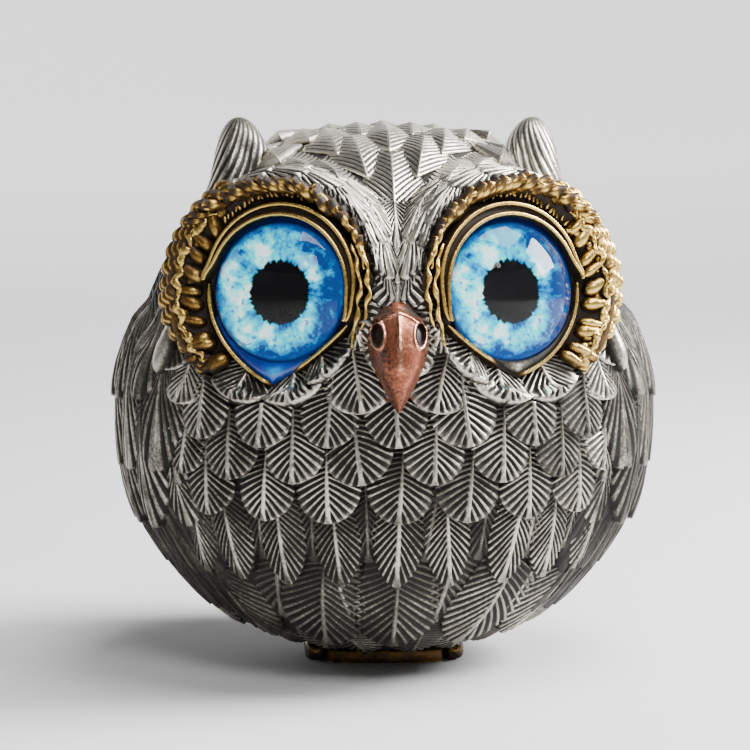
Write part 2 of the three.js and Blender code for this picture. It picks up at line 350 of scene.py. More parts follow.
def add_object(name, data):
    made = bpy.data.objects.new(name, data)
    bpy.context.scene.collection.objects.link(made)
    return made


class Shapes:
    """Points, faces and attributes of many small closed shapes that become one piece."""

    def __init__(self):
        self.points, self.faces, self.ridge, self.tone = [], [], [], []
        self.count = 0

    def add(self, points, faces, ridge, tone):
        points = points.reshape(-1, 3)
        self.points.append(points)
        self.faces.extend(face + self.count for face in faces)
        self.ridge.append(np.broadcast_to(np.asarray(ridge, float).ravel(), points.shape[:1]))
        self.tone.append(np.broadcast_to(float(tone), points.shape[:1]))
        self.count += len(points)

    def add_closed(self, points, faces, ridge, tone=0.0):
        self.add(points, turned_out(points.reshape(-1, 3), faces), ridge, tone)

    def build(self, name, material, slot, stands_for=(), **more):
        """Makes the mesh object, riding on the part and standing for CAD nodes."""
        mesh = bpy.data.meshes.new(name)
        points = np.concatenate(self.points).astype(np.float32) * MM
        mesh.vertices.add(len(points))
        mesh.vertices.foreach_set("co", points.ravel())
        sizes = np.array([len(face) for face in self.faces])
        corners = np.concatenate(self.faces)
        mesh.loops.add(len(corners))
        mesh.loops.foreach_set("vertex_index", corners.astype(np.int32))
        mesh.polygons.add(len(sizes))
        mesh.polygons.foreach_set("loop_start", (np.cumsum(sizes) - sizes).astype(np.int32))
        mesh.update(calc_edges=True)
        mesh.polygons.foreach_set("use_smooth", [True] * len(sizes))
        values = {"ridge": np.concatenate(self.ridge), "tone": np.concatenate(self.tone), **more}
        for key, value in values.items():
            kind = "FLOAT" if value.ndim == 1 else "FLOAT_VECTOR"
            layer = mesh.attributes.new(key, kind, "POINT")
            field = "value" if kind == "FLOAT" else "vector"
            layer.data.foreach_set(field, value.astype(np.float32).ravel())
        mesh.materials.append(material)
        piece = add_object(name, mesh)
        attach(piece, "root")
        if stands_for:
            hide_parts(*stands_for)


def one_shape(points, faces, ridge, tone=0.0):
    shapes = Shapes()
    shapes.add_closed(points, faces, ridge, tone)
    return shapes


def sweep(shapes, path, side, up, across, out, ridge, tone=0.0):
    """A closed section (across, out) carried along a path, with both ends closed."""
    across, out, ridge = (np.broadcast_to(v, (len(path), np.shape(v)[-1])) for v in (across, out, ridge))
    points = path[:, None] + across[..., None] * side[:, None] + out[..., None] * up
    shapes.add_closed(points, tube_faces(*across.shape), ridge, tone)


def sweep_round(shapes, eye, angle, across, out, ridge, tone=0.0):
    """A section carried round an eye, with across measured from the eye's middle."""
    sweep(shapes, eye.ring(angle, 0 * angle, 0), eye.radial(angle), eye.out, across, out, ridge, tone)


def path_sides(path, up):
    """Unit directions square to a path and to up."""
    return unit(np.cross(np.gradient(path, axis=0), up))


def strand(shapes, path, up, radius, wide=1.0, twists=0.0, tone=0.0):
    """A cast strand with a rounded section, drawn out to a point at both ends where radius is small."""
    turn = full_turn(10)
    spin = np.linspace(0, 2 * math.pi * twists, len(path))[:, None]
    radius = np.broadcast_to(radius, (len(path),))[:, None]
    flat, tall = wide * np.cos(turn), np.sin(turn)
    across = radius * (flat * np.cos(spin) - tall * np.sin(spin))
    out = radius * (flat * np.sin(spin) + tall * np.cos(spin))
    ridge = 0.35 + 0.75 * np.clip(out / np.maximum(radius, 0.01), -0.4, 1)
    sweep(shapes, path, path_sides(path, up), up, across, out, ridge, tone)


# Feathers

class Relief:
    """A small relief drawn flat, as a grid of places x and y, heights h and wear (ridge)."""

    def finish(self, grid):
        """Takes the grid with its skirt, and works out the faces as lay_feather turns them out."""
        self.x, self.y, self.h, self.ridge = np.moveaxis(grid, -1, 0)
        flat = np.stack([-self.x, -self.y, self.h], -1).reshape(-1, 3)
        self.faces = turned_out(flat, slab_faces(*self.x.shape))


def skirt(points):
    """A copy of grid points (x, y, h, ridge), taken down under the surface and left dark."""
    return points * [1, 1, 0, 0] + [0, 0, SUNK, 0]


class Feather(Relief):
    """One kind of cast feather, drawn flat: y runs from the tip towards the root, x across.

    Its rows follow the barbs, so the barbs' ridges and the grooves between them are real relief.
    fan is how far up the shaft the barbs that end at the tip begin and spread how fast the next
    ones move up it. chevron draws the barbs straight, parallel to a pointed tip.
    """

    TAPER = 0.3  # share of the width that is lost at the root

    def __init__(self, length, half_width, barbs, tip=0.45, power=2.0, fan=0.13, spread=0.8,
                 relief=0.4, shaft=0.22, shaft_height=0.25, chevron=False, keel=0.0, dip=0.0,
                 drop=0.8, lift=1.3, rim=0.0, rim_reach=1.0, seat=0.1, bright=0.85, groove=0.36):
        self.length = length
        across_barb = np.array([0.0, 0.68 - groove, 0.84 - groove, 0.84])  # the ridge, then the groove
        steps = (np.arange(barbs)[:, None] + across_barb).ravel() / barbs
        ridge_row = np.tile([1.0, 1.0, 0.0, 0.0], barbs)[:, None]
        tip_length = tip * length
        if chevron:
            rachis_y = steps * length
            taper = 1 - self.TAPER * steps
            edge_x = half_width * taper
            edge_y = rachis_y + tip_length * taper
        else:
            edge_x, edge_y = self.rounded_edge(half_width, tip_length, power, steps)
            rachis_y = length * (fan + (1 - fan) * steps ** spread)
        shaft_here = shaft * (1.3 - 0.8 * steps)
        inner = shaft_here / np.maximum(edge_x, shaft_here * 1.5)
        columns = [np.minimum(k * inner, 0.75) for k in (0.0, 0.5, 1.0, 1.6)]
        columns += [columns[3] + (1 - columns[3]) * k for k in (0.3, 0.6, 0.86, 1.0)]
        t = np.stack(columns, -1)
        x = t * edge_x[:, None]
        y = rachis_y[:, None] + (edge_y - rachis_y)[:, None] * t ** (1.0 if chevron else 1.12)
        on_shaft = np.array([1, 1, 1, 0, 0, 0, 0, 0.0])
        crest = np.array([1.0, 0.85, 0.35, 0, 0, 0, 0, 0])
        worn_crest = min(1, 1.25 * bright) * np.array([1, 1, 0.9, 0, 0, 0, 0, 0.0])
        h = relief * np.maximum(ridge_row, on_shaft)
        h = h + shaft_height * crest * (0.5 + 0.5 * (1 - y / length))
        ridge = np.maximum(bright * ridge_row, worn_crest)
        if rim:
            edge = np.array([0, 0, 0, 0, 0, 0, 0.6, 1.0])
            near_tip = np.clip(1 + rim_reach * (0.6 - edge_y / tip_length), 0, 1)[:, None]
            ridge = np.maximum(ridge, edge * near_tip * rim)
            h = np.maximum(h, relief * edge * near_tip * rim)
        whole = length + (tip_length if chevron else 0)
        # Darker towards the root, where the next row covers it: painted shade.
        ridge = ridge * (1 - 0.4 * smooth(y / whole * 1.5 - 0.5))
        h = h - drop * (x / half_width) ** 2 - keel * x + seat + lift * (1 - y / whole)
        h = h - dip * np.clip(1 - y / tip_length, 0, 1)
        half = np.stack([x, y, h, ridge], -1)
        half = np.concatenate([half, skirt(half[:, -1:])], 1)
        grid = np.concatenate([half[:, :0:-1] * [-1, 1, 1, 1], half], 1)
        self.finish(np.concatenate([skirt(grid[:1]), grid]) if chevron else grid)

    def rounded_edge(self, half_width, tip_length, power, steps):
        """Where the barbs end: points evenly spaced along a rounded outline, from the tip."""
        y = self.length * np.linspace(0, 1, 400) ** 1.6
        x = half_width * np.maximum(0, 1 - np.clip(1 - y / tip_length, 0, 1) ** power) ** (1 / power)
        x = x * (1 - self.TAPER * np.clip((y - tip_length) / (self.length - tip_length), 0, 1))
        run = np.concatenate([[0], np.cumsum(np.hypot(np.diff(x), np.diff(y)))])
        where = (0.02 + 0.98 * steps) * run[-1]
        return np.interp(where, run, x), np.interp(where, run, y)


class Leaf(Relief):
    """A small smooth cast leaf, drawn flat like a feather, with a few ribs across it."""

    def __init__(self, length, half_width, thickness, tip=0.6, ribs=0, rib_height=0.12, root_width=0.75):
        self.length = length
        y = length * np.linspace(0, 1, 26)[:, None] ** 1.3
        t = np.linspace(-1, 1, 15)[None, :]
        width = np.sqrt(np.maximum(0, 1 - np.clip(1 - y / (tip * length), 0, 1) ** 2))
        width = np.maximum(width * (1 - (1 - root_width) * np.clip(y / length, 0, 1)), 0.06)
        x, y = half_width * width * t, y + 0 * t
        dome = np.maximum(0, 1 - np.abs(t) ** 2.2) ** 0.6
        wave = np.cos(2 * math.pi * ribs * (y / length - 0.12 * np.abs(t))) if ribs else 0 * x
        h = thickness * dome * np.minimum(1, width * 1.2) + rib_height * wave * dome
        ridge = np.clip(0.15 + 0.75 * dome * (1 - 0.5 * y / length) + 0.3 * wave, 0, 1)
        grid = np.stack([x, y, h, ridge], -1)
        self.finish(np.concatenate([skirt(grid[:, :1]), grid, skirt(grid[:, -1:])], 1))


def lay_feather(shapes, surface, kind, tip, way, scale=1.0, wide=1.0, lean=0.0, raise_by=0.0,
                settle=0.0, tone=None):
    """Lays one feather on a surface with its tip at a point, pointing along a way.

    raise_by lifts it, and settle is the share of that which is lost towards its root.
    """
    normal = surface.normal(tip[None])[0]
    along = unit(way - (way @ normal) * normal)
    length = kind.length * scale
    anchor = surface.spot(tip - along * length / 2)
    normal = surface.normal(anchor[None])[0]
    along = unit(tip - anchor - ((tip - anchor) @ normal) * normal)
    side = np.cross(along, normal)
    x = kind.x * scale * wide + lean * (kind.y / kind.length) ** 2 * length
    flat = anchor + x[..., None] * side + (length / 2 - kind.y * scale)[..., None] * along
    raised = kind.h + raise_by * (1 - settle * smooth(kind.y / kind.length))
    height = np.where(kind.h > SUNK, raised, kind.h)
    points = surface.place(flat) + height[..., None] * normal
    shapes.add(points, kind.faces, kind.ridge, random.uniform(-1, 1) if tone is None else tone)


def set_leaf(shapes, kind, tip, along, normal, scale=1.0, wide=1.0, curl=0.0, tone=0.0, fade=0.0):
    """Sets a leaf free in space with its tip at a point; curl bends its tip down, fade darkens it."""
    along = unit(along - (along @ normal) * normal)
    across = (kind.x * scale * wide)[..., None] * np.cross(along, normal)
    down_tip = 1 - kind.y / kind.length
    height = ((kind.h - curl * down_tip ** 2) * scale)[..., None] * normal
    points = tip + across - (kind.y * scale)[..., None] * along + height
    shapes.add(points, kind.faces, kind.ridge * (1 - fade * down_tip), tone)


POINTED = {"tip": 0.5, "power": 1.7, "fan": 0.15, "spread": 0.62}
BROAD = {"power": 1.8, "fan": 0.12, "spread": 0.62}
BELLY = Feather(10.5, 4.4, 12, tip=0.42, lift=1.7, rim=0.65, rim_reach=2.2, groove=0.42)
BELLY_LONG = Feather(16.0, 3.6, 15, lift=1.7, groove=0.42, **POINTED)
UNDER = Feather(14.0, 3.6, 13, lift=0.4, relief=0.3, shaft=0.16, shaft_height=0.12, bright=0.6, **POINTED)
BOTTOM = Feather(21.0, 6.2, 15, tip=0.45, lift=1.1, drop=0.55, bright=0.9, groove=0.42, **BROAD)
BETWEEN = Feather(17.0, 5.6, 13, tip=0.5, lift=0.2, relief=0.25, seat=0.0, bright=0.8, **BROAD)
CHEEK = Feather(9.5, 4.6, 12, tip=0.38, fan=0.2, rim=1.0, rim_reach=1.6, lift=1.9, drop=1.1, groove=0.4)
BACK = Feather(11.0, 4.7, 11, tip=0.42, lift=1.2, rim=0.5, rim_reach=2.2, groove=0.42)
TEMPLE = Feather(10.5, 4.5, 12, tip=0.42, lift=0.5, relief=0.26, shaft_height=0.15, rim=0.4, rim_reach=2.2)
# bright=1.0 on the crown, with the high tones given in lay_crown, is painted light on the top of the head.
CROWN = Feather(13.2, 4.6, 11, tip=0.46, chevron=True, keel=0.3, dip=1.0, drop=0.0, lift=0.6, relief=0.26,
                seat=0.6, shaft=0.14, shaft_height=0.05, bright=1.0, groove=0.27)
LANCE = Feather(10.0, 1.9, 10, tip=0.6, power=1.5, fan=0.45, lift=0.9, relief=0.18, shaft=0.11,
                shaft_height=0.1, bright=0.9, groove=0.34)
BROW = Feather(15.0, 2.9, 11, tip=0.4, power=1.7, fan=0.5, spread=0.85, lift=0.7, relief=0.2,
               shaft=0.13, shaft_height=0.08, bright=0.95, groove=0.3)
SHOULDER = Feather(11.0, 3.3, 8, tip=0.3, fan=0.5, spread=0.9, lift=0.5, relief=0.2, shaft=0.18,
                   shaft_height=0.1, bright=0.75)
COVERT = Feather(21.0, 4.3, 8, tip=0.36, power=1.8, fan=0.66, spread=0.9, lift=0.9, relief=0.32,
                 shaft=0.2, shaft_height=0.12, groove=0.34)
PRIMARY = Feather(24.0, 3.8, 6, tip=0.25, fan=0.6, lift=0.7, relief=0.14, shaft_height=0.12,
                  bright=0.6, groove=0.16)


# Where the feathers go

def flow(point):
    """The way feathers point on the body: down, and below the eyes also away from them."""
    way = DOWN.copy()
    for eye in eyes.values():
        across, up, out = eye.local(point)
        if up < 0 and out > -14:
            strength = 1.3 * np.clip((24 - math.hypot(across, up)) / 10, 0, 1)
            way = way + strength * unit(across * eye.right + up * eye.up)
    return way


# Rows round the body, from the bottom: height of the tips, feathers in the full circle, whether
# the row is half a step round, and the kind of feather.
ROWS = [
    (4.2, 17, 1, TEMPLE), (6.4, 15, 0, BOTTOM), (9.6, 15, 1, BETWEEN), (16.4, 28, 0, BELLY_LONG),
    (19.5, 28, 1, UNDER), (25.6, 25, 0, BELLY), (30.9, 25, 1, BELLY), (36.0, 25, 0, BELLY),
    (40.8, 25, 1, CHEEK), (45.2, 25, 0, CHEEK),
    (49.6, 25, 1, TEMPLE), (54.2, 24, 0, TEMPLE), (58.8, 24, 1, TEMPLE), (63.2, 23, 0, TEMPLE),
    (67.4, 22, 1, TEMPLE), (71.2, 19, 0, TEMPLE), (74.4, 16, 1, TEMPLE), (76.8, 11, 0, TEMPLE),
]
FRONT = math.radians(90)
SIDE_OF_FACE = math.radians(62)  # the rimmed cheek feathers end here
SIDE_OF_HEAD = math.radians(64)  # over FACE_TOP, crown and brows take the place in front of this
FACE_TOP = 56
WINGED = 0.99  # a body feather this far inside a wing's outline would not be seen


def lay_body_rows(low, high, front):
    shapes = Shapes()
    for height, count, half_step, kind in ROWS:
        if not low <= height < high:
            continue
        for k in range(count):
            turn = 2 * math.pi * (k + half_step / 2) / count
            turn = (turn + math.pi) % (2 * math.pi) - math.pi
            if (abs(turn) < FRONT) != front or (height > FACE_TOP and abs(turn) < SIDE_OF_HEAD):
                continue
            tip = SKIN.spot(ball_point(turn, height))
            if ruff_distance(tip) < RUFF_RADIUS - 0.3:
                continue
            beside_wing = wing_offset(tip)
            if beside_wing < WINGED and wing_offset(tip + UP * kind.length / 2) < WINGED:
                continue
            shape = BACK if kind is CHEEK and abs(turn) > SIDE_OF_FACE else kind
            under_wing = smooth((1.35 - beside_wing) / 0.35)
            # On top of the random spread, tones fall towards the bottom: painted shade on the lower belly.
            lay_feather(shapes, SKIN, shape, tip, flow(tip) + random.normal(0, 0.09, 3),
                        lean=random.normal(0, 0.02), raise_by=-0.9 * under_wing,
                        scale=random.uniform(0.96, 1.06), wide=random.uniform(0.96, 1.06),
                        tone=random.uniform(-1, 1) - 1.5 * max(0, 1 - height / 40))
    return shapes


CROWN_STEP = math.radians(10.6)  # between rows over the top of the head
CROWN_START = math.radians(42.9)
CROWN_PITCH = 7.2
CROWN_HALF_WIDTH = 20


def lay_crown():
    """Keeled feathers over the head, pointing at the beak, in staggered rows."""
    shapes = Shapes()
    gather = np.array([0, -46.0, 44.0])  # they point at this place in front of the beak
    for row in range(6):
        climb = CROWN_START + row * CROWN_STEP
        squeeze = min(1, 0.84 + 0.09 * row)
        for k in range(-3, 4):
            across = CROWN_PITCH * squeeze * (k + 0.5 * (row % 2))
            swing = math.asin(across / (HALF_WIDTH + 0.5))
            upright = math.cos(swing)
            ray = np.array([math.sin(swing), -upright * math.cos(climb), upright * math.sin(climb)])
            tip = SKIN.spot(CENTRE + ray)
            if abs(across) > CROWN_HALF_WIDTH or ruff_distance(tip) < RUFF_RADIUS + 0.4:
                continue
            beside_ear = smooth((abs(across) - 8) / 7) * (row > 1)
            # High tones on every crown feather: painted light on the top of the head.
            lay_feather(shapes, SKIN, CROWN, tip, gather - tip, wide=0.94 + 0.02 * row,
                        raise_by=1.5 * beside_ear, settle=1.3, tone=random.uniform(1.2, 2.8))
    return shapes


# Rows of narrow feathers from the beak up: height of the tips and their places on both sides.
LANCE_ROWS = [
    (55.8, (-1.4, 1.4)), (58.2, (0.0,)), (59.2, (-2.8, 2.8)), (61.0, (-1.3, 1.3)),
    (63.2, (-4.0, 0.0, 4.0)), (65.4, (-2.2, 2.2)), (67.2, (-6.2, 6.2)),
]


def lay_lances():
    """Narrow feathers between the ruffs, down to the top of the beak."""
    shapes = Shapes()
    for order, (height, places) in enumerate(LANCE_ROWS):
        for across in places:
            tip = SKIN.spot([across, -34.0, height])
            way = np.array([-0.25 * np.sign(across) * min(1, abs(across) / 3), -0.2, -1.0])
            lay_feather(shapes, SKIN, LANCE, tip, way, scale=0.9 + 0.05 * order,
                        wide=0.85 + 0.08 * order, raise_by=0.06 * order)
    return shapes


def lay_brows():
    """Long feathers that follow the upper edge of each ruff down towards the beak."""
    shapes = Shapes()
    for eye in eyes.values():
        for ring, (away, first, last, count) in enumerate([(4.6, 62, 130, 5), (1.5, 46, 172, 8)]):
            for angle in angles(first, last, count):
                tip = SKIN.spot(eye.ring(angle, ruff_edge(angle) + away, 0))
                way = eye.tangent(angle) + 0.08 * eye.radial(angle)
                lay_feather(shapes, SKIN, BROW, tip, way, scale=1.0 - 0.15 * ring,
                            raise_by=0.1 + 0.45 * ring, lean=0.06 * eye.side, tone=1.5)
    return shapes


# Tail feathers, then covers over their roots: how many, spread and height of the tips, kind, scale.
TAIL_ROWS = [(5, 8.4, 1.2, PRIMARY, 0.85), (4, 5.6, 8.5, COVERT, 0.9)]


def lay_tail():
    """A short fan low on the back."""
    shapes = Shapes()
    bottom = box_mm("tail")[0][2]
    root = np.array([0, HALF_DEPTH, bottom + 26.0])
    for count, spread, tip_height, kind, scale in TAIL_ROWS:
        for k in range(count):
            place = 2 * k / (count - 1) - 1
            tip = TAIL.spot([spread * place, HALF_DEPTH, bottom + tip_height + 2.0 * place ** 2])
            lay_feather(shapes, TAIL, kind, tip, tip - root, scale=scale, wide=0.75,
                        raise_by=0.5 * (1 - abs(place)))
    return shapes


# Wings

def wing_pad(side):
    """The raised bed of a wing, under its feathers."""
    rows, columns = 24, 96
    shrink = np.linspace(0.02, 1.0, rows)[:, None]
    along, upright = squared_circle(full_turn(columns)[None, :], 2 / WING_SQUARENESS)
    y = WING_Y + WING_HALF_LENGTH * shrink * along
    z = WING_Z + WING_HALF_HEIGHT * shrink * upright
    reach = outline((z - CENTRE[2]) / HALF_HEIGHT) ** 2 - ((y - CENTRE[1]) / HALF_DEPTH) ** 2
    x = side * HALF_WIDTH * np.sqrt(np.maximum(reach, 0.01))
    flat = np.stack([x, y, z], -1)
    points = np.concatenate([WING.place(flat, -0.1), SKIN.place(flat[::-1], -1.0)])
    return points, tube_faces(2 * rows, columns)


# Rows of wing feathers from the tip up: height of the front tip, turn of the front one in degrees,
# step, how many, fall of the tips per step towards the back, kind, scale.
WING_ROWS = [
    (9.5, 52, 8.0, 11, 0.0, PRIMARY, 1.0), (15.5, 50, 8.0, 11, 0.0, PRIMARY, 0.9),
    (22.5, 63, 11.5, 7, 0.3, COVERT, 0.9), (30.5, 58, 11.5, 7, 0.3, COVERT, 0.95),
    (39.5, 64, 11.5, 7, 0.3, COVERT, 0.85), (47.0, 61, 9.0, 8, 0.2, SHOULDER, 1.2),
]


def lay_wing(side):
    shapes = Shapes()
    shapes.add_closed(*wing_pad(side), 0.1)
    for height, first, step, count, fall, kind, scale in WING_ROWS:
        forward = np.array([0, -0.12 if kind is PRIMARY else 0.0, 0])
        for k in range(count):
            turn = math.radians(first + step * k)
            tip = WING.spot(ball_point(side * turn, height - fall * k))
            over_next = max(0.5 - 0.25 * k, -0.3) if kind is COVERT else 0.0
            # Wing tones run a step darker than the body's, and one more step on the +X wing: painted shade.
            lay_feather(shapes, WING, kind, tip, DOWN + forward + random.normal(0, 0.02, 3),
                        scale=scale * random.uniform(0.98, 1.03), wide=random.uniform(0.95, 1.05),
                        raise_by=over_next, tone=random.uniform(-2.0, 0.0) - max(0, side))
    outwards = np.array([0.3 * side, 0, 0])
    for k in range(4):  # small feathers down the leading edge
        tip = WING.spot(ball_point(side * math.radians(54.0 - 0.6 * k), 41.0 - 6.0 * k))
        lay_feather(shapes, WING, SHOULDER, tip, DOWN - outwards, raise_by=0.1)
    lobe = Leaf(9.0, 1.8, 1.3, tip=0.5, root_width=0.6)
    tip = WING.spot(ball_point(side * math.radians(58), 44.0))
    lay_feather(shapes, WING, lobe, tip, DOWN + outwards, raise_by=1.7, tone=2)
    return shapes


# Ear tufts

EAR_BASE = 69.0
EAR_GROOVES = 21
EAR_TWIST = 4.5  # grooves that the pattern turns by, from the base to the tip


def make_ear(side):
    """A rounded, hooded tuft with grooves that curl round it and a hollow in front."""
    rows, columns = 70, 150
    t = np.linspace(0, 0.995, rows)[:, None]
    turn = full_turn(columns)[None, :]
    low, high = box_mm("ear_tuft_" + eyes[side].word)
    middle_x = side * (20.1 + 1.2 * t)
    middle_y = (low[1] + high[1]) / 2 + 1.5 * t
    half_x = (5.2 - 2.3 * t + 0.8 * (1 - t) ** 4) * (1 - t ** 5) ** 0.5
    half_y = 6.4 * (1 - t ** 2.2) ** 0.6
    phase = EAR_GROOVES * turn / (2 * math.pi) + side * EAR_TWIST * t
    ridge = smooth(1.5 * np.abs(2 * (phase % 1) - 1) - 0.15)
    front = bell(turn - math.radians(270 - 12 * side), 0.62)
    hollow = 0.3 * front * smooth(t / 0.25) * smooth((0.92 - t) / 0.4)
    swell = 1 - hollow + 0.05 * ridge * (1 - 0.5 * t)
    x = middle_x + half_x * swell * np.cos(turn)
    y = middle_y + half_y * swell * np.sin(turn)
    z = EAR_BASE + (high[2] - 0.2 - EAR_BASE) * t + 0 * turn
    # Darker in the grooves with patina, and darker in the front hollow: painted shade. The tone lifts the +X
    # ear and lowers the other: painted light.
    shade = 0.25 + 0.75 * ridge * (1 - 0.3 * front)
    return one_shape(np.stack([x, y, z], -1), tube_faces(rows, columns), shade, 1 + 1.5 * side)


# Eye ruffs

BAND_START, BAND_END = 40, 158  # the slanted leaves over the top, in degrees round the eye
CREST_START, CREST_END = -44, 46  # the wavy crest down the outer side


def ruff_base(shapes, eye):
    """The dished bed of the ruff, open under the eye."""
    angle = angles(-46, 222, 200)
    inner = 11.6
    from_eye = np.array([inner, 12.0, 12.4, 12.8, 0, 0, 0, 0, inner])
    from_edge = np.array([0, 0, 0, 0, -1.0, -0.4, 0.1, 0.9, 0])
    across = np.where(from_eye > 0, from_eye, ruff_edge(angle)[:, None] + from_edge)
    across = np.maximum(across, inner)
    beside_beak = smooth((-np.cos(angle) - 0.2) / 0.5)[:, None]
    out = np.array([-1.5, -0.6, -0.6, -0.1, 1.1, 1.3, 0.8, -1.5, -3.4])
    out = out - beside_beak * np.array([0, 0, 0, 0, 1, 1, 0.6, 0, 0])
    taper = fade_ends(angle, 0.25)[:, None]
    out = np.where(out > -1, out * taper - 1.0 * (1 - taper), out)
    ridge = np.array([0, 0, 0, 0.05, 0.3, 0.5, 0.3, 0.05, 0])
    sweep_round(shapes, eye, angle, across, out, ridge)


def ruff_top(shapes, eye):
    """Slanted leaves laid like a rope over the top, with a smooth bright outer edge."""
    leaf = Leaf(3.9, 1.05, 0.9, tip=0.7, ribs=2, rib_height=0.06, root_width=0.5)
    for angle in angles(BAND_START, BAND_END, 24):
        angle = angle + random.uniform(-0.03, 0.03)
        narrow = 1 - 0.6 * smooth((angle - 2.0) / 0.7)
        tip = eye.ring(angle, ruff_edge(angle) - random.uniform(1.6, 2.2) * narrow, RUFF_TOP - 1.1)
        along = eye.tangent(angle) - random.uniform(0.6, 1.1) * narrow * eye.radial(angle)
        normal = unit(eye.out - 0.45 * eye.radial(angle) + random.normal(0, 0.12, 3))
        set_leaf(shapes, leaf, tip, along, normal, scale=0.7 + 0.3 * narrow, curl=0.8, fade=0.3,
                 wide=random.uniform(0.8, 1.2), tone=random.uniform(-0.6, 1.6) + 0.5 * eye.painted_light)
    angle = angles(BAND_START - 2, BAND_END + 8, 140)
    wobble = 0.12 * np.sin(angle * 26) + 0.08 * np.sin(angle * 41)
    path = eye.ring(angle, ruff_edge(angle) - 0.35 + wobble, RUFF_TOP - 0.55)
    thick = (0.14 + 0.24 * fade_ends(angle, 0.15)) * (1 + 0.25 * np.sin(angle * 33))
    strand(shapes, path, eye.out, thick)


def ruff_medial(shapes, eye):
    """Two thin twisted strands beside the beak, each drawn out to a point."""
    for away, first, last, tip_out, thick in [(-0.1, 146, 209, 0.6, 0.36), (-1.3, 148, 228, 0.5, 0.38)]:
        angle = angles(first, last, 120)
        t = np.linspace(0, 1, len(angle))
        wobble = 0.22 * np.sin(t * 26 + away) * np.sin(math.pi * t)
        radius = ruff_edge(angle) + away + wobble + 1.6 * smooth((t - 0.55) / 0.45) * (away < -1)
        ends = smooth((1.02 - t) / 0.35) * smooth(0.3 + t / 0.1)
        thickness = np.maximum(thick * (0.75 + 0.25 * np.cos(t * 31)) * ends, 0.05)
        path = eye.ring(angle, radius, 1.5 - tip_out * t)
        strand(shapes, path, eye.out, thickness, wide=1.35, twists=3.5, tone=0.6)


def ruff_shells(shapes, eye):
    """Ribbed shells along the outer edge."""
    shell = Leaf(4.4, 1.75, 1.05, tip=0.55, ribs=4, rib_height=0.13, root_width=0.85)
    for angle in angles(-46, 52, 14):
        low_end = smooth((math.radians(-14) - angle) / 0.4)
        tip = eye.ring(angle, ruff_edge(angle) + 2.0 - 1.3 * low_end, -0.55)
        normal = unit(eye.out + 0.35 * eye.radial(angle) + random.normal(0, 0.08, 3))
        along = eye.radial(angle) - 0.45 * eye.tangent(angle)
        set_leaf(shapes, shell, tip, along, normal, scale=1 - 0.2 * low_end, curl=0.3,
                 wide=random.uniform(0.85, 1.05), tone=random.uniform(-1.0, 1.0) + eye.painted_light)


def ruff_crest(shapes, eye):
    """A wavy crest inside the shells."""
    angle = angles(CREST_START, CREST_END, 200)
    wave = 0.3 * np.sin(angle * 29) + 0.14 * np.sin(angle * 47 + eye.side) + 0.08 * np.sin(angle * 83)
    path = eye.ring(angle, ruff_edge(angle) - 1.7 + wave, RUFF_TOP - 0.5 - 0.35 * np.abs(angle))
    lumps = 1 + 0.35 * np.sin(angle * 23 + 1) + 0.2 * np.sin(angle * 61)
    thick = np.maximum((0.12 + 0.24 * fade_ends(angle, 0.12)) * lumps, 0.06)
    strand(shapes, path, eye.out, thick, wide=1.4, tone=-0.4)


def ruff_petals(shapes, eye):
    """Petals and small lumps between the crest and the lids."""
    petal = Leaf(3.2, 1.2, 1.2, tip=0.6, root_width=0.7)
    for angle in angles(-50, 34, 10):
        angle = angle + random.uniform(-0.04, 0.04)
        tip = eye.ring(angle, 11.8 + random.uniform(0, 0.5), 0.35)
        along = -eye.radial(angle) - random.uniform(0.1, 0.7) * eye.tangent(angle)
        set_leaf(shapes, petal, tip, along, unit(eye.out - 0.1 * eye.radial(angle)),
                 wide=random.uniform(0.75, 1.15), curl=0.3, tone=random.uniform(-1.0, 1.0) + eye.painted_light)
    lump = Leaf(1.7, 0.75, 0.7, tip=0.6)
    for angle in angles(-48, 44, 21):
        tip = eye.ring(angle, random.uniform(13.6, 15.4), 0.5)
        along = random.normal(0, 1, 3)
        set_leaf(shapes, lump, tip, along - (along @ eye.out) * eye.out, eye.out,
                 wide=random.uniform(0.7, 1.3), tone=random.uniform(-2.0, 0.5) + eye.painted_light)


def ruff_beads(shapes, eye):
    """Small worn bits in the trench between the ruff and the lids."""
    bead = Leaf(0.9, 0.26, 0.3, tip=0.6)
    for angle in angles(42, 150, 34):
        tip = eye.ring(angle, 12.75 + random.uniform(-0.25, 0.25), 0.2)
        along = -eye.radial(angle) + random.uniform(-0.6, 0.6) * eye.tangent(angle)
        set_leaf(shapes, bead, tip, along, eye.out, scale=random.uniform(0.8, 1.4),
                 tone=random.uniform(0.5, 2.5))


def make_ruff(eye):
    shapes = Shapes()
    for part in (ruff_base, ruff_shells, ruff_crest, ruff_petals, ruff_top, ruff_medial, ruff_beads):
        part(shapes, eye)
    return shapes


# Lids

def rim_section(radius):
    """Rounded top of a thin rim: places across and out, and how worn each is."""
    turn = angles(200, -20, 7)
    across, out = radius * np.cos(turn), radius * np.sin(turn)
    return across, out, 0.45 + 0.6 * out / radius


